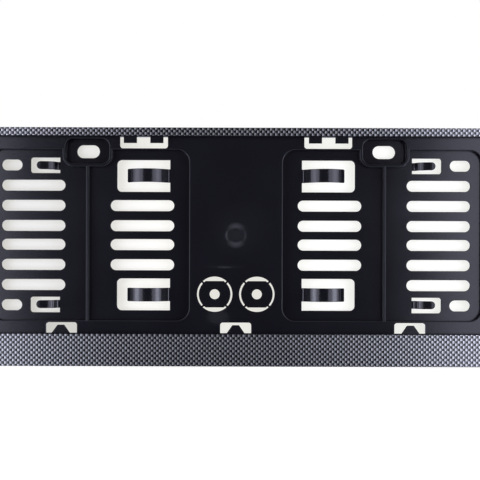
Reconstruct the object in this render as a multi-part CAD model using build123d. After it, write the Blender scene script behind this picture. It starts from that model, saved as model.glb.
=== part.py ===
from build123d import *
import math
import os

# A number plate holder, moulded in one piece, with a thin carbon-look film on the front of its frame.
# X runs along the plate, +Z is up and the front faces -Y. The origin lies on the back plane, behind
# the middle of the plate. A level is a distance forwards from that plane. Sizes are in millimetres.

# The plate that the holder takes, and the play around it
plate_length = 520.0
plate_height = 110.0
plate_thickness = 1.0
plate_corner_radius = 10.0
plate_play = 0.7

# The raised frame around the plate, a channel that is open at the back
top_band = 5.0
side_band = 5.0
bottom_band = 18.6
frame_above_tabs = 1.15
frame_wall = 1.6
frame_corner_radius = 13.0
frame_inner_slope = 0.35
frame_outer_slope = 0.15

# The film on the frame's front face
film_thickness = 0.25
film_margin = 0.1

# The tray: the plate rests on the support level, and two pans lie below it
support_level = 7.5
pan_depth = 4.0
tray_wall = 1.8
pan_inner_edge = 26.6
pan_outer_edge = 139.75
pan_margin = 7.1
pan_corner_radius = 7.1
rim_slope_run = 0.4
rim_slope_drop = 0.28

# The two screw wells at the top, and the rib that runs down from each
well_x = 84.6
well_width = 25.0
well_height = 14.3
well_top_gap = 0.9
well_corner_radius = 4.5
well_lip = 1.6
well_hole_drop = 7.9
well_hole_length = 13.0
well_hole_width = 7.5
pan_rib_width = 1.3

# The screw slots in the pans
slot_length = 36.4
slot_width = 6.3
slot_first_row = 5.4
slot_row_pitch = 11.5
slot_web = 3.0
inner_slot_x = 53.5
outer_slot_x = 115.7
end_slot_length = 11.8
end_slot_drop = 5.5

# The windows that the large spring tongues stand in
large_window_x = 37.65
large_window_length = 30.3
large_window_height = 18.2
large_window_drop = 5.65
large_window_radius = 2.7

# The large spring tongue: an arch that springs back almost to the pan's level
large_tongue_width = 7.65
large_tongue_foot = 0.7
large_tongue_rise_run = 12.6
large_tongue_fall_run = 10.85
large_tongue_slope = 44.0
large_tongue_crest_radius = 12.3
large_tongue_foot_radius = 1.2
large_tongue_tip_radius = 0.6

# The windows that the small spring tongues stand in
small_window_x = 100.5
small_window_length = 16.85
small_window_height = 8.9
small_window_drop = 4.35
small_window_radius = 1.6

# The small spring tongue: a steep post, a short arch and a tip that falls gently
small_tongue_width = 4.5
small_tongue_inset = 0.4
small_tongue_foot = 1.5
small_tongue_post_run = 1.3
small_tongue_post_rise = 3.4
small_tongue_slope = 38.0
small_tongue_apex_run = 3.6
small_tongue_fall = 1.0
small_tongue_tip_run = 6.1
small_tongue_foot_radius = 1.8
small_tongue_post_radius = 0.8
small_tongue_crest_radius = 12.0
tongue_thickness = 1.0
tongue_root = 2.0

# The tabs that hold the plate, and the windows below them that the mould closes through
tab_play = 0.6
tab_thickness = 1.5
tab_root = 0.8
window_corner_radius = 1.5
top_window_pitch = 104.8
top_window_width = 27.2
top_window_strip = 0.65
top_tab_width = 7.4
top_tab_reach = 3.65
top_tab_x = 7.5
bottom_window_pitch = 99.0
bottom_window_width = 17.6
bottom_window_strip = 1.05
bottom_tab_base = 10.3
bottom_tab_tip = 3.8
bottom_tab_reach = 4.7
bottom_tab_below_frame = 0.55
bottom_tab_tip_thickness = 0.9
bottom_tab_tip_radius = 0.5

# The two break-out discs in the middle panel
disc_pitch = 24.0
disc_rise = 22.15
disc_radius = 10.05
disc_slot_radius = 9.05
disc_flat = 7.5
disc_web = 1.1
disc_web_thickness = 1.0
disc_hole_radius = 2.85

# The shallow round mark in the middle of the tray
mark_radius = 6.1
mark_floor_radius = 4.7
mark_depth = 0.3

# Stiffening ribs behind the tray and in the frame's wide channel
back_rib_pitch = 80.0
back_rib_width = 1.4
back_rib_height = 70.0
back_rib_level = 2.0

# Two places closer together than this count as one
tolerance = 0.001

opening_length = plate_length + 2 * plate_play
opening_height = plate_height + 2 * plate_play
opening_radius = plate_corner_radius + plate_play
opening_top = opening_height / 2
outer_length = opening_length + 2 * side_band
outer_height = opening_height + top_band + bottom_band
outer_z = (top_band - bottom_band) / 2
tab_level = support_level + plate_thickness + tab_play
tab_front_level = tab_level + tab_thickness
frame_level = tab_front_level + frame_above_tabs
pan_level = support_level - pan_depth
pan_height = opening_height - 2 * pan_margin
end_slot_z = pan_height / 2 - end_slot_drop - slot_width / 2
large_window_z = pan_height / 2 - large_window_drop - large_window_height / 2
small_window_z = pan_height / 2 - small_window_drop - small_window_height / 2
disc_z = -opening_top + disc_rise


def slab(sketch, back_level, front_level):
    """A plate of the sketch's outline between two levels."""
    return extrude(Plane.XZ.offset(back_level) * sketch, amount=front_level - back_level)


def box(left, right, bottom, top):
    """A sharp rectangle in the front view, by its edges."""
    return Pos((left + right) / 2, (bottom + top) / 2) * Rectangle(right - left, top - bottom)


def both_sides(shape):
    """A shape and its mirror image across the middle of the holder."""
    return [shape, mirror(shape, about=Plane.YZ)]


def frame_outline(inset=0.0):
    """The holder's outline, or the same drawn further in."""
    radius = frame_corner_radius - inset
    return Pos(0, outer_z) * RectangleRounded(outer_length - 2 * inset, outer_height - 2 * inset, radius)


def plate_opening(grow=0.0):
    """The opening that the plate drops into, or the same drawn further out."""
    return RectangleRounded(opening_length + 2 * grow, opening_height + 2 * grow, opening_radius + grow)


def pan_rectangle(side, grow=0.0):
    """One pan's outline, without the well and rib that stand in it."""
    length = pan_outer_edge - pan_inner_edge
    outline = RectangleRounded(length + 2 * grow, pan_height + 2 * grow, pan_corner_radius + grow)
    return Pos(side * (pan_inner_edge + pan_outer_edge) / 2, 0) * outline


def well_outline(side, grow=0.0):
    """One screw well, close below the frame."""
    outline = RectangleRounded(well_width + 2 * grow, well_height + 2 * grow, well_corner_radius + grow)
    return Pos(side * well_x, opening_top - well_top_gap - well_height / 2) * outline


def pan_recess(side):
    """The recess of one pan, in two halves beside the rib and round the well's lip."""
    rib = Pos(side * well_x, 0) * Rectangle(pan_rib_width, pan_height)
    return pan_rectangle(side) - well_outline(side, well_lip) - rib


def slot(length, x, z):
    """A round-ended slot along the plate."""
    return Pos(x, z) * SlotOverall(length, slot_width)


def row_heights(window_bottom):
    """The heights of slot rows, as many as fit below a window, and the same below the middle."""
    highest = window_bottom - slot_web - slot_width / 2
    rows = math.floor((highest - slot_first_row) / slot_row_pitch) + 1
    upper = [slot_first_row + slot_row_pitch * row for row in range(rows)]
    return [-z for z in reversed(upper)] + upper


def screw_slots():
    """All slots and oval holes for screws."""
    end_slot_x = outer_slot_x + (slot_length - end_slot_length) / 2
    inner_rows = row_heights(large_window_z - large_window_height / 2)
    outer_rows = row_heights(small_window_z - small_window_height / 2)
    holes = []
    for side in (-1, 1):
        holes += [slot(slot_length, side * inner_slot_x, z) for z in inner_rows]
        holes += [slot(slot_length, side * outer_slot_x, z) for z in outer_rows]
        holes += [slot(end_slot_length, side * end_slot_x, z) for z in (-end_slot_z, end_slot_z)]
        well_hole = SlotOverall(well_hole_length, well_hole_width)
        holes.append(Pos(side * well_x, opening_top - well_hole_drop) * well_hole)
    return Sketch() + holes


def tongue_window(inner_edge, length, height, z, radius):
    """A window with a sharp edge at the tongue's root and round corners at its free end."""
    outline = box(inner_edge, inner_edge + length, z - height / 2, z + height / 2)
    return fillet(outline.vertices().group_by(Axis.X)[-1], radius)


def tongue_windows():
    """The eight windows round the spring tongues."""
    windows = []
    for level in (-1, 1):
        large = tongue_window(large_window_x, large_window_length, large_window_height,
                              level * large_window_z, large_window_radius)
        small = tongue_window(small_window_x, small_window_length, small_window_height,
                              level * small_window_z, small_window_radius)
        windows += both_sides(large) + both_sides(small)
    return Sketch() + windows


def spring_tongue(path, width, tip_radius, z):
    """A strip that follows a path of (x, level) points and is as wide as given, with a rounded tip."""
    side_view = make_face(offset(path, tongue_thickness, side=Side.RIGHT, closed=True))
    side_plane = Plane(origin=(0, 0, z), x_dir=(1, 0, 0), z_dir=(0, 0, -1))
    strip = extrude(side_plane * side_view, amount=width / 2, both=True)
    start = (path @ 0).X
    tip = (path @ 1).X
    plan = box(start, tip, z - width / 2, z + width / 2)
    plan = fillet(plan.vertices().group_by(Axis.X)[-1], tip_radius)
    return strip & slab(plan, 0, frame_level)


def large_tongue(z):
    """The arch in a large window."""
    foot = large_window_x + large_tongue_foot
    apex_x = foot + large_tongue_rise_run
    steepness = math.tan(math.radians(large_tongue_slope))
    apex_level = pan_level + large_tongue_rise_run * steepness
    path = FilletPolyline(
        (large_window_x - tongue_root, pan_level),
        (foot, pan_level),
        (apex_x, apex_level),
        (apex_x + large_tongue_fall_run, apex_level - large_tongue_fall_run * steepness),
        radius=[large_tongue_foot_radius, large_tongue_crest_radius],
    )
    return spring_tongue(path, large_tongue_width, large_tongue_tip_radius, z)


def small_tongue(z):
    """The short arch on a steep post in a small window."""
    foot = small_window_x + small_tongue_foot
    post_x = foot + small_tongue_post_run
    post_level = pan_level + small_tongue_post_rise
    apex_level = post_level + small_tongue_apex_run * math.tan(math.radians(small_tongue_slope))
    tip_level = apex_level - small_tongue_tip_run * math.tan(math.radians(small_tongue_fall))
    apex_x = post_x + small_tongue_apex_run
    path = FilletPolyline(
        (small_window_x - tongue_root, pan_level),
        (foot, pan_level),
        (post_x, post_level),
        (apex_x, apex_level),
        (apex_x + small_tongue_tip_run, tip_level),
        radius=[small_tongue_foot_radius, small_tongue_post_radius, small_tongue_crest_radius],
    )
    round_tip = small_tongue_width / 2 * 0.98
    return spring_tongue(path, small_tongue_width, round_tip, z)


def spring_tongues():
    """The eight tongues that press the plate forwards against the tabs."""
    tongues = []
    for level in (-1, 1):
        tongues += both_sides(large_tongue(level * large_window_z))
        tongues += both_sides(small_tongue(level * (small_window_z - small_tongue_inset)))
    return tongues


def row_places(pitch, width, first):
    """The places of a row of windows, as many as fit between the opening's round corners."""
    reach = opening_length / 2 - opening_radius - width / 2
    count = math.floor((reach - first) / pitch) + 1
    right = [first + pitch * step for step in range(count)]
    return [-x for x in reversed(right) if x > 0] + right


def top_window_places():
    """Where the top windows stand along the plate: a pair astride the middle, and so on outwards."""
    return row_places(top_window_pitch, top_window_width, top_window_pitch / 2)


def bottom_window_places():
    """Where the bottom windows stand along the plate: one in the middle, and so on outwards."""
    return row_places(bottom_window_pitch, bottom_window_width, 0)


def tab_windows():
    """The windows in the tray's rim, one behind each tab or pair of tabs."""
    windows = []
    for x in top_window_places():
        half = top_window_width / 2
        window = box(x - half, x + half, pan_height / 2 + top_window_strip, opening_top)
        windows.append(fillet(window.vertices().group_by(Axis.Y)[0], window_corner_radius))
    for x in bottom_window_places():
        half = bottom_window_width / 2
        window = box(x - half, x + half, -opening_top, -pan_height / 2 - bottom_window_strip)
        windows.append(fillet(window.vertices().group_by(Axis.Y)[-1], window_corner_radius))
    return Sketch() + windows


def top_tab(x):
    """A square tab that reaches down over the plate's top edge."""
    half = top_tab_width / 2
    outline = box(x - half, x + half, opening_top - top_tab_reach, opening_top + tab_root)
    return slab(outline, tab_level, tab_front_level)


def bottom_tab(x):
    """A tapered tab with a sloping face, which leads the plate in over the bottom edge."""
    taper = (bottom_tab_base - bottom_tab_tip) / 2 / bottom_tab_reach
    root_half = bottom_tab_base / 2 + taper * tab_root
    root_z = -opening_top - tab_root
    tip_z = -opening_top + bottom_tab_reach
    outline = make_face(Polyline(
        (x - root_half, root_z),
        (x - bottom_tab_tip / 2, tip_z),
        (x + bottom_tab_tip / 2, tip_z),
        (x + root_half, root_z),
        close=True,
    ))
    outline = fillet(outline.vertices().group_by(Axis.Y)[-1], bottom_tab_tip_radius)
    base_level = frame_level - bottom_tab_below_frame
    slope = (base_level - tab_level - bottom_tab_tip_thickness) / bottom_tab_reach
    root_level = base_level + slope * tab_root
    wedge_view = make_face(Polyline(
        (-tab_level, root_z),
        (-tab_level, tip_z),
        (-tab_level - bottom_tab_tip_thickness, tip_z),
        (-root_level, root_z),
        close=True,
    ))
    wedge = extrude(Plane.YZ.offset(x) * wedge_view, amount=root_half, both=True)
    return slab(outline, tab_level, root_level) & wedge


def plate_tabs():
    """All tabs that hold the plate."""
    top = [top_tab(x + offset_x) for x in top_window_places() for offset_x in (-top_tab_x, top_tab_x)]
    bottom = [bottom_tab(x) for x in bottom_window_places()]
    return top + bottom


def disc_places():
    """Where the two break-out discs stand."""
    return [Pos(side * disc_pitch / 2, disc_z) for side in (-1, 1)]


def disc_openings():
    """The openings round each disc: two bent slots, two segments and the hole in the middle."""
    beyond_flats = Circle(disc_radius) - Rectangle(2 * disc_radius, 2 * disc_flat)
    ring = Circle(disc_radius) - Circle(disc_slot_radius)
    webs = Rot(0, 0, 45) * (Rectangle(3 * disc_radius, disc_web) + Rectangle(disc_web, 3 * disc_radius))
    openings = beyond_flats + ring - webs + Circle(disc_hole_radius)
    return Sketch() + [place * openings for place in disc_places()]


def disc_thinning():
    """A ring behind each disc, where the webs are thinner than the tray."""
    ring = Circle(disc_radius) - Circle(disc_slot_radius)
    return Sketch() + [place * ring for place in disc_places()]


def back_ribs():
    """Ribs behind the end panels and across the frame's wide bottom channel."""
    ribs = []
    count = math.floor((opening_length / 2 - back_rib_width) / back_rib_pitch)
    channel_top = -opening_top - frame_wall / 2
    channel_bottom = outer_z - outer_height / 2 + frame_wall / 2
    for step in range(-count, count + 1):
        x = step * back_rib_pitch
        half = back_rib_width / 2
        channel_rib = box(x - half, x + half, channel_bottom, channel_top)
        ribs.append(slab(channel_rib, back_rib_level, frame_level - frame_wall / 2))
        if abs(x) > pan_outer_edge + tray_wall + back_rib_width:
            panel_rib = box(x - half, x + half, -back_rib_height / 2, back_rib_height / 2)
            ribs.append(slab(panel_rib, back_rib_level, support_level - tray_wall / 2))
    return ribs


def sunk(body, recesses, floor_level):
    """Cuts recesses into the support face and slopes their rims."""
    cutter = slab(recesses, floor_level, support_level)
    body -= cutter
    level_faces = [face for face in body.faces() if abs(face.center().Y + support_level) < tolerance]
    support_face = max(level_faces, key=lambda face: face.area)
    new_rims = [wire for wire in support_face.inner_wires() if cutter.distance_to(wire @ 0) < tolerance]
    rim_edges = [edge for wire in new_rims for edge in wire.edges()]
    return chamfer(rim_edges, rim_slope_run, rim_slope_drop, reference=support_face)


def front_form():
    """The frame, the support face and the pans as seen from the front, still solid behind."""
    body = slab(frame_outline(), 0, frame_level)
    body -= slab(plate_opening(), support_level, frame_level)
    outer_edges = body.faces().sort_by(Axis.Y)[0].outer_wire().edges()
    body = chamfer(outer_edges, frame_outer_slope)
    inner_edges = body.faces().sort_by(Axis.Y)[0].inner_wires()[0].edges()
    body = chamfer(inner_edges, frame_inner_slope)
    body = sunk(body, pan_recess(-1) + pan_recess(1), pan_level)
    return sunk(body, well_outline(-1) + well_outline(1), tray_wall)


def hollow_back(body):
    """Takes out the back, so that every face is carried by a wall of even thickness."""
    inside = frame_outline(frame_wall)
    wells = well_outline(-1, well_lip) + well_outline(1, well_lip)
    pans = pan_rectangle(-1, tray_wall) + pan_rectangle(1, tray_wall)
    body -= slab(inside - wells, 0, pan_level - tray_wall)
    body -= slab(inside - wells - pans, 0, support_level - tray_wall)
    body -= slab(inside - plate_opening(frame_wall), 0, frame_level - frame_wall)
    return body


def centre_mark():
    """A shallow round mark with a sloping edge."""
    top = Plane.XZ.offset(support_level) * Circle(mark_radius)
    floor = Plane.XZ.offset(support_level - mark_depth) * Circle(mark_floor_radius)
    return loft([top.face(), floor.face()])


def holder_moulding():
    """The whole black moulding."""
    body = hollow_back(front_form())
    body -= slab(screw_slots() + tongue_windows(), 0, support_level)
    body -= slab(tab_windows(), 0, support_level)
    body -= slab(disc_openings(), 0, support_level)
    web_back = support_level - tray_wall
    body -= slab(disc_thinning(), web_back, support_level - disc_web_thickness)
    body -= centre_mark()
    for piece in back_ribs() + spring_tongues() + plate_tabs():
        body += piece
    return body


def carbon_look_film():
    """The film on the flat front of the frame, between its sloped edges."""
    opening = plate_opening(frame_inner_slope + film_margin)
    return slab(frame_outline(frame_outer_slope) - opening, frame_level, frame_level + film_thickness)


os.makedirs("parts", exist_ok=True)
export_step(holder_moulding(), "parts/holder_moulding.step")
export_step(carbon_look_film(), "parts/carbon_look_film.step")
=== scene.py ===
import math

import bpy
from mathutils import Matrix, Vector


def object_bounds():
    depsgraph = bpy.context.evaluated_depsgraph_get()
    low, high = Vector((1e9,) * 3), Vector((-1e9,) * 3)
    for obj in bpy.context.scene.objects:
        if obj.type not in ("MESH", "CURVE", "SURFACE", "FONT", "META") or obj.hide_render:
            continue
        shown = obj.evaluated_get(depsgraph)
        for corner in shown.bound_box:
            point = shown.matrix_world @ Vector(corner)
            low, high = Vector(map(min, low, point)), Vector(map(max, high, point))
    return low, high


# A number plate holder of black moulded plastic, with a carbon-look film on the front of its frame.
# Lengths are in metres. The front faces -Y, and the camera looks along +Y.

# The camera: how far it stands in front of the holder, how wide a stretch of the front it sees, its place
# across and up, its shift, and its roll in degrees
camera_distance = 0.700
camera_view_width = 0.2710
camera_x = 0.00237
camera_z = -0.01605
camera_shift = 0.0490
camera_roll = 0.17

white = (1.0, 1.0, 1.0)

# The plastic: its colour and roughness vary between two values over soft clouds, it has a fine grain, and
# every edge looks rounded by a small radius
plastic_colors = ((0.0048, 0.0046, 0.0066), (0.0078, 0.0076, 0.0106))
plastic_roughness = (0.17, 0.21)
cloud_size = 0.030
cloud_detail = 3.0
cloud_range = (0.3, 0.7)
grain_size = 0.0004
grain_depth = 0.00001
edge_radius = 0.0003

# The sloped rims of the pans and wells: their place and half their depth, the normal's Y where a face
# counts as flat and where it counts as sloped, and how much rougher they are
rim_y = -0.00736
rim_half_depth = 0.00017
rim_normal_y = (-0.97, -0.90)
rim_dullness = 0.46

# What stands in front of this place has fine streaks: their height, how many times longer they are, the
# range of the noise that makes them, and how much they change the roughness
streak_y = -0.0077
streak_height = 0.0007
streak_stretch = 20.0
streak_range = (0.35, 0.65)
streak_depth = 0.05

# Pale patches in the plastic's colour: their colour, and for each its middle in x and z, half its length
# and height, and its strength. The first three are faint marks; the last two are a painted sheen on the
# centre mark and round it
mark_and_highlight_color = (0.10, 0.10, 0.10)
marks_and_painted_sheen = (
    (-0.0065, -0.0182, 0.0050, 0.0008, 0.17),
    (-0.0060, -0.0180, 0.0150, 0.0012, 0.05),
    (-0.0100, -0.0465, 0.0080, 0.0055, 0.12),
    (0.0, 0.0, 0.0055, 0.0045, 0.07),
    (0.0020, 0.0040, 0.0200, 0.0180, 0.022),
)
# A painted highlight: a pale ring round the centre mark, with its radius, how far it fades inwards and
# outwards, and its strength. It is plainest at its top and bottom, where the light catches the mark: its
# share of the strength goes by the height over the radius
halo_radius = 0.0050
halo_inner_fade = 0.0018
halo_outer_fade = 0.0030
halo_strength = 0.46
halo_steepness = (0.60, 1.0)
halo_share = (0.12, 1.0)

# The weave of the film: the height of two rows, and for the lower and the upper band where it starts
# across and up, how much its rows climb along the frame, and the width of two tows
weave_height = 0.002869
lower_weave = (0.00118, -0.00027, -0.0030, 0.002960)
upper_weave = (0.00150, -0.00110, -0.0044, 0.002949)
# The lower band's weave turns into the upper band's between these heights, which both lie off the bands
weave_change = (-0.050, 0.050)
# How softly a row meets the next, between which shares of its length a tow sinks, how fast it darkens as
# it sinks, how deep it sinks, and the colours of its low and its high end
row_blend = 0.4
tow_slope = (0.05, 0.95)
tow_darkening = 3.2
weave_depth = 0.00002
film_colors = ((0.003, 0.003, 0.003), (0.77, 0.78, 0.77))

# The studio's light from all sides
world_color = (0.93, 0.90, 1.0)
world_strength = 0.088

# The floor: how high it lies, how far it reaches, its colour for the object's light, and its colour and
# glow for the camera
floor_level = -0.42
floor_reach = 14.0
floor_dim_color = (0.22, 0.22, 0.22)
floor_color = (0.8, 0.8, 0.8)
floor_glow = 0.96

# The table top behind the openings: its place, and how far it ends inside the holder's outline
table_y = 0.0015
table_side_inset = 0.0037
table_top_inset = 0.0037
table_bottom_inset = 0.0043
table_color = (0.34, 0.34, 0.32)
# Its glow is painted light and shade, the table as lit in the holder's shade. It turns from one tint to
# the other between two places across. Its strength rises between the left places, a painted shade that
# darkens the left, and falls a little between the right ones
table_tints = ((1.0, 0.985, 0.91), (1.04, 1.04, 0.98))
tint_places = (0.015, 0.045)
left_glow_places = (-0.100, -0.040)
left_glow_strengths = (0.58, 0.785)
right_glow_places = (0.050, 0.095)
right_glow_losses = (0.0, 0.03)

# The soft boxes beside the camera: in plan, each stands between an inner and an outer end, and its
# core is brighter, most of all in its lower half
lamp_color = (0.92, 0.94, 1.17)
box_height = 0.40
left_box_ends = ((-0.205, -0.400), (-0.600, -0.130))
right_box_ends = ((0.178, -0.400), (0.600, -0.130))
left_box_radiance = 2.3
right_box_radiance = 2.2
core_height = 0.22
core_z = 0.11
left_core_ends = ((-0.330, -0.327), (-0.490, -0.210))
right_core_ends = ((0.325, -0.323), (0.490, -0.207))
lower_core_radiance = 4.0
upper_core_radiance = 1.2

# The soft boxes behind the object, which light its back: the place, width, height and radiance
back_boxes = (
    ("back_left_box", (-1.05, 1.10, 0.05), 0.9, 0.9, 2.2),
    ("back_right_box", (1.05, 1.10, 0.05), 0.9, 0.9, 2.2),
    ("back_low_box", (0.0, 0.85, -0.32), 1.0, 0.5, 0.9),
)

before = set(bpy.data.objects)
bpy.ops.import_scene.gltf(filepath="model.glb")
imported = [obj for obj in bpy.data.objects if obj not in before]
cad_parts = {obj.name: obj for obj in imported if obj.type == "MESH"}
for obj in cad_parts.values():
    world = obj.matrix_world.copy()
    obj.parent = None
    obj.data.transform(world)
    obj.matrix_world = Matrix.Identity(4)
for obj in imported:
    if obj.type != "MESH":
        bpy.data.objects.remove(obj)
cad_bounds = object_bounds()
holder_low, holder_high = cad_bounds


def start_material(name):
    """A new material with an empty node tree and its output."""
    material = bpy.data.materials.new(name)
    material.use_nodes = True
    tree = material.node_tree
    tree.nodes.clear()
    output = tree.nodes.new("ShaderNodeOutputMaterial")
    return material, tree, output


def feed(tree, source, socket):
    """Puts a number, a colour or another node's output into a socket."""
    if isinstance(source, (int, float)):
        socket.default_value = source
    elif isinstance(source, tuple):
        socket.default_value = (*source, 1.0)
    else:
        tree.links.new(source, socket)


def calculate(tree, operation, *values):
    """A math node's output."""
    node = tree.nodes.new("ShaderNodeMath")
    node.operation = operation
    for value, socket in zip(values, node.inputs):
        feed(tree, value, socket)
    return node.outputs[0]


def remap(tree, source, old_range, new_range, smooth=False):
    """A value taken from one range to another, and held there."""
    node = tree.nodes.new("ShaderNodeMapRange")
    node.interpolation_type = "SMOOTHSTEP" if smooth else "LINEAR"
    feed(tree, source, node.inputs["Value"])
    for name, limit in zip(("From Min", "From Max", "To Min", "To Max"), (*old_range, *new_range)):
        node.inputs[name].default_value = limit
    return node.outputs["Result"]


def sum_of_squares(tree, first, second):
    """The sum of two values' squares."""
    squares = [calculate(tree, "MULTIPLY", value, value) for value in (first, second)]
    return calculate(tree, "ADD", *squares)


def component(tree, vector, axis):
    """A vector's component along one axis."""
    node = tree.nodes.new("ShaderNodeSeparateXYZ")
    tree.links.new(vector, node.inputs[0])
    return node.outputs[axis]


def noise(tree, place, size, detail=2.0):
    """Noise whose lumps are about this large."""
    node = tree.nodes.new("ShaderNodeTexNoise")
    node.inputs["Scale"].default_value = 1.0 / size
    node.inputs["Detail"].default_value = detail
    tree.links.new(place, node.inputs["Vector"])
    return node.outputs["Fac"]


def mix_colors(tree, factor, first, second):
    """A colour between two, by a factor."""
    node = tree.nodes.new("ShaderNodeMix")
    node.data_type = "RGBA"
    feed(tree, factor, node.inputs["Factor"])
    feed(tree, first, node.inputs["A"])
    feed(tree, second, node.inputs["B"])
    return node.outputs["Result"]


def soft_edges(tree, radius):
    """A normal that rounds every edge by this radius."""
    node = tree.nodes.new("ShaderNodeBevel")
    node.samples = 6
    node.inputs["Radius"].default_value = radius
    return node.outputs["Normal"]


def raised(tree, height, depth, normal=None):
    """A normal that follows a height between 0 and 1 times the depth."""
    node = tree.nodes.new("ShaderNodeBump")
    node.inputs["Distance"].default_value = depth
    tree.links.new(height, node.inputs["Height"])
    if normal is not None:
        tree.links.new(normal, node.inputs["Normal"])
    return node.outputs["Normal"]


def patch_strength(tree, x, z, mark):
    """The strength of one pale patch, which is greatest in its middle and 0 from its edge outwards."""
    mark_x, mark_z, half_length, half_height, strength = mark
    across = calculate(tree, "DIVIDE", calculate(tree, "SUBTRACT", x, mark_x), half_length)
    up = calculate(tree, "DIVIDE", calculate(tree, "SUBTRACT", z, mark_z), half_height)
    return remap(tree, sum_of_squares(tree, across, up), (0.0, 1.0), (strength, 0.0), smooth=True)


def halo(tree, x, z):
    """The strength of the painted highlight on the pale ring round the centre mark."""
    radius = calculate(tree, "SQRT", sum_of_squares(tree, x, z))
    inner_fade = (halo_radius - halo_inner_fade, halo_radius)
    outer_fade = (halo_radius, halo_radius + halo_outer_fade)
    inside = remap(tree, radius, inner_fade, (0.0, halo_strength), smooth=True)
    outside = remap(tree, radius, outer_fade, (1.0, 0.0), smooth=True)
    on_ring = calculate(tree, "MULTIPLY", inside, outside)
    steepness = calculate(tree, "DIVIDE", calculate(tree, "ABSOLUTE", z), radius)
    return calculate(tree, "MULTIPLY", on_ring, remap(tree, steepness, halo_steepness, halo_share))


def paler_on_marks_and_highlights(tree, color, x, z):
    """A colour that is paler on each faint mark, and on a painted sheen and highlight round the centre
    mark.
    """
    strengths = [patch_strength(tree, x, z, mark) for mark in marks_and_painted_sheen]
    for strength in (*strengths, halo(tree, x, z)):
        color = mix_colors(tree, strength, color, mark_and_highlight_color)
    return color


def sloped_rims(tree, y, normal):
    """1 on the sloped rims just below the support face, and 0 elsewhere."""
    near_level = calculate(tree, "COMPARE", y, rim_y, rim_half_depth)
    tilted = remap(tree, component(tree, normal, "Y"), rim_normal_y, (0.0, 1.0))
    return calculate(tree, "MULTIPLY", near_level, tilted)


def tongue_streaks(tree, place, y):
    """Fine streaks on what stands above the support face, as a change of roughness."""
    stretched = tree.nodes.new("ShaderNodeMapping")
    stretched.inputs["Scale"].default_value = (1.0 / streak_stretch, 1.0, 1.0)
    tree.links.new(place, stretched.inputs["Vector"])
    lines = noise(tree, stretched.outputs["Vector"], streak_height)
    streaks = remap(tree, lines, streak_range, (-streak_depth, streak_depth))
    return calculate(tree, "MULTIPLY", streaks, calculate(tree, "LESS_THAN", y, streak_y))


def black_plastic():
    """Moulded plastic with a fine grain and a satin sheen, which is duller on the sloped rims."""
    material, tree, output = start_material("black_plastic")
    surface = tree.nodes.new("ShaderNodeTexCoord")
    place = surface.outputs["Object"]
    x, y, z = [component(tree, place, axis) for axis in "XYZ"]
    shader = tree.nodes.new("ShaderNodeBsdfPrincipled")
    cloud = noise(tree, place, cloud_size, cloud_detail)
    cloudy_color = mix_colors(tree, cloud, *plastic_colors)
    # Faint marks, and a highlight and sheen round the centre mark that are painted as a paler colour
    tree.links.new(paler_on_marks_and_highlights(tree, cloudy_color, x, z), shader.inputs["Base Color"])
    sheen = remap(tree, cloud, cloud_range, plastic_roughness)
    streaked = calculate(tree, "ADD", sheen, tongue_streaks(tree, place, y))
    rims = sloped_rims(tree, y, surface.outputs["Normal"])
    roughness = calculate(tree, "ADD", streaked, calculate(tree, "MULTIPLY", rims, rim_dullness))
    tree.links.new(roughness, shader.inputs["Roughness"])
    shader.inputs["IOR"].default_value = 1.48
    grain = noise(tree, place, grain_size)
    grained = raised(tree, grain, grain_depth, soft_edges(tree, edge_radius))
    tree.links.new(grained, shader.inputs["Normal"])
    tree.links.new(shader.outputs[0], output.inputs["Surface"])
    return material


def woven_height(tree, x, z):
    """The weave's height: 1 at a tow's left and 0 at its right. Every second row is shifted by half."""
    start_x, start_z, climb, width = [
        remap(tree, z, weave_change, lower_and_upper) for lower_and_upper in zip(lower_weave, upper_weave)
    ]
    row_z = calculate(tree, "ADD", start_z, calculate(tree, "MULTIPLY", x, climb))
    rows = calculate(tree, "DIVIDE", calculate(tree, "SUBTRACT", z, row_z), weave_height)
    tows = calculate(tree, "DIVIDE", calculate(tree, "SUBTRACT", x, start_x), width)
    wave = calculate(tree, "SINE", calculate(tree, "MULTIPLY", rows, 2 * math.pi))
    upper_row = remap(tree, wave, (-row_blend, row_blend), (1.0, 0.0), smooth=True)
    along_tows = [calculate(tree, "FRACT", calculate(tree, "ADD", tows, shift)) for shift in (0.0, 0.5)]
    lower_height, upper_height = [remap(tree, along, tow_slope, (1.0, 0.0)) for along in along_tows]
    difference = calculate(tree, "SUBTRACT", upper_height, lower_height)
    return calculate(tree, "ADD", lower_height, calculate(tree, "MULTIPLY", upper_row, difference))


def carbon_look():
    """A glossy film with a fine weave, whose tows fade from silver-grey on the left to black."""
    material, tree, output = start_material("carbon_look")
    place = tree.nodes.new("ShaderNodeTexCoord").outputs["Object"]
    height = woven_height(tree, component(tree, place, "X"), component(tree, place, "Z"))
    brightness = calculate(tree, "POWER", height, tow_darkening)
    shader = tree.nodes.new("ShaderNodeBsdfPrincipled")
    tree.links.new(mix_colors(tree, brightness, *film_colors), shader.inputs["Base Color"])
    shader.inputs["Metallic"].default_value = 1.0
    shader.inputs["Roughness"].default_value = 0.44
    shader.inputs["IOR"].default_value = 1.45
    shader.inputs["Coat Weight"].default_value = 1.0
    shader.inputs["Coat Roughness"].default_value = 0.25
    tree.links.new(raised(tree, height, weave_depth), shader.inputs["Normal"])
    tree.links.new(shader.outputs[0], output.inputs["Surface"])
    return material


def plain_shader(tree, kind, color, strength=None):
    """A diffuse, transparent, emission or background shader."""
    node = tree.nodes.new(kind)
    feed(tree, color, node.inputs["Color"])
    if strength is not None:
        feed(tree, strength, node.inputs["Strength"])
    return node.outputs[0]


def added(tree, first, second):
    """Two shaders added up."""
    node = tree.nodes.new("ShaderNodeAddShader")
    tree.links.new(first, node.inputs[0])
    tree.links.new(second, node.inputs[1])
    return node.outputs[0]


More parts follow.
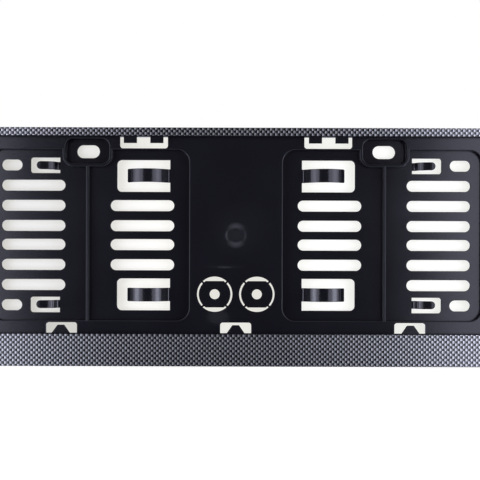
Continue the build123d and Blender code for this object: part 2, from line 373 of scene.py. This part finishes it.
def either(tree, factor, first, second):
    """The first shader where the factor is 0, and the second where it is 1."""
    node = tree.nodes.new("ShaderNodeMixShader")
    for source, socket in zip((factor, first, second), node.inputs):
        tree.links.new(source, socket)
    return node.outputs[0]


def only_for_camera(tree, for_others, for_camera):
    """One shader for what the camera sees directly and another for all other light."""
    path = tree.nodes.new("ShaderNodeLightPath")
    return either(tree, path.outputs["Is Camera Ray"], for_others, for_camera)


def white_world():
    """White where the camera looks past the object, and dim for everything else."""
    world = bpy.data.worlds.new("studio")
    bpy.context.scene.world = world
    world.use_nodes = True
    tree = world.node_tree
    tree.nodes.clear()
    output = tree.nodes.new("ShaderNodeOutputWorld")
    dim = plain_shader(tree, "ShaderNodeBackground", world_color, world_strength)
    bright = plain_shader(tree, "ShaderNodeBackground", white, 1.0)
    tree.links.new(only_for_camera(tree, dim, bright), output.inputs["Surface"])


def studio_sheet(name, corners, material):
    """A flat sheet that belongs to the studio."""
    mesh = bpy.data.meshes.new(name)
    mesh.from_pydata(corners, [], [(0, 1, 2, 3)])
    mesh.materials.append(material)
    sheet = bpy.data.objects.new(name, mesh)
    bpy.context.scene.collection.objects.link(sheet)


def pale_floor():
    """A wide pale floor that keeps the object's shadow."""
    material, tree, output = start_material("floor_white")
    dim = plain_shader(tree, "ShaderNodeBsdfDiffuse", floor_dim_color)
    pale = plain_shader(tree, "ShaderNodeBsdfDiffuse", floor_color)
    glow = plain_shader(tree, "ShaderNodeEmission", white, floor_glow)
    tree.links.new(only_for_camera(tree, dim, added(tree, pale, glow)), output.inputs["Surface"])
    ends = ((-1, -1), (1, -1), (1, 1), (-1, 1))
    corners = [(across * floor_reach, away * floor_reach, floor_level) for across, away in ends]
    studio_sheet("floor", corners, material)


def table_behind():
    """The pale table top that the camera sees through the openings. All other light passes through it."""
    material, tree, output = start_material("table_white")
    x = component(tree, tree.nodes.new("ShaderNodeTexCoord").outputs["Object"], "X")
    pale = plain_shader(tree, "ShaderNodeBsdfDiffuse", table_color)
    tint = mix_colors(tree, remap(tree, x, tint_places, (0.0, 1.0)), *table_tints)
    left_glow = remap(tree, x, left_glow_places, left_glow_strengths, smooth=True)
    right_loss = remap(tree, x, right_glow_places, right_glow_losses, smooth=True)
    strength = calculate(tree, "SUBTRACT", left_glow, right_loss)
    # The glow is painted light and shade on the table, dimmer towards the left
    glow = plain_shader(tree, "ShaderNodeEmission", tint, strength)
    clear = plain_shader(tree, "ShaderNodeBsdfTransparent", white)
    from_behind = tree.nodes.new("ShaderNodeNewGeometry").outputs["Backfacing"]
    for_camera = either(tree, from_behind, added(tree, pale, glow), clear)
    tree.links.new(only_for_camera(tree, clear, for_camera), output.inputs["Surface"])
    left = holder_low.x + table_side_inset
    right = holder_high.x - table_side_inset
    bottom = holder_low.z + table_bottom_inset
    top = holder_high.z - table_top_inset
    ends = ((left, bottom), (right, bottom), (right, top), (left, top))
    corners = [(across, table_y, up) for across, up in ends]
    studio_sheet("table_top", corners, material)


def soft_box(name, place, width, height, radiance, facing):
    """A rectangular lamp that shines along a direction."""
    lamp = bpy.data.lights.new(name, "AREA")
    lamp.shape = "RECTANGLE"
    lamp.size = width
    lamp.size_y = height
    lamp.color = lamp_color
    lamp.energy = radiance * math.pi * width * height
    box = bpy.data.objects.new(name, lamp)
    bpy.context.scene.collection.objects.link(box)
    box.location = place
    box.rotation_mode = "QUATERNION"
    box.rotation_quaternion = (-facing).to_track_quat("Z", "Y")
    box.visible_camera = False


def side_box(name, ends, height, z, radiance):
    """A soft box that stands between two places in plan, and faces the side where the object is."""
    inner, outer = [Vector((*end, z)) for end in ends]
    middle = (inner + outer) / 2
    along = (outer - inner).normalized()
    facing = along.cross(Vector((0.0, 0.0, 1.0)))
    if facing.dot(middle) > 0:
        facing = -facing
    soft_box(name, middle, (outer - inner).length, height, radiance, facing)


def photo_camera():
    """The camera straight in front of the holder."""
    data = bpy.data.cameras.new("camera")
    data.sensor_width = 36.0
    data.lens = data.sensor_width * camera_distance / camera_view_width
    data.shift_y = camera_shift
    data.clip_start = 0.01
    data.clip_end = 50.0
    camera = bpy.data.objects.new("camera", data)
    bpy.context.scene.collection.objects.link(camera)
    camera.location = (camera_x, holder_low.y - camera_distance, camera_z)
    camera.rotation_euler = (math.radians(90.0), math.radians(-camera_roll), 0.0)
    bpy.context.scene.camera = camera


def dress(node, material):
    """Gives a node of the frame its material."""
    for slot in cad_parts[node].material_slots:
        slot.material = material


photo_camera()
white_world()
pale_floor()
table_behind()
side_box("left_soft_box", left_box_ends, box_height, 0.0, left_box_radiance)
side_box("right_soft_box", right_box_ends, box_height, 0.0, right_box_radiance)
for side, core_ends in (("left", left_core_ends), ("right", right_core_ends)):
    side_box(side + "_lower_core", core_ends, core_height, -core_z, lower_core_radiance)
    side_box(side + "_upper_core", core_ends, core_height, core_z, upper_core_radiance)
for name, place, width, height, radiance in back_boxes:
    soft_box(name, place, width, height, radiance, -Vector(place))
dress("holder_moulding", black_plastic())
dress("carbon_look_film", carbon_look())

bpy.context.scene.view_settings.view_transform = "Standard"
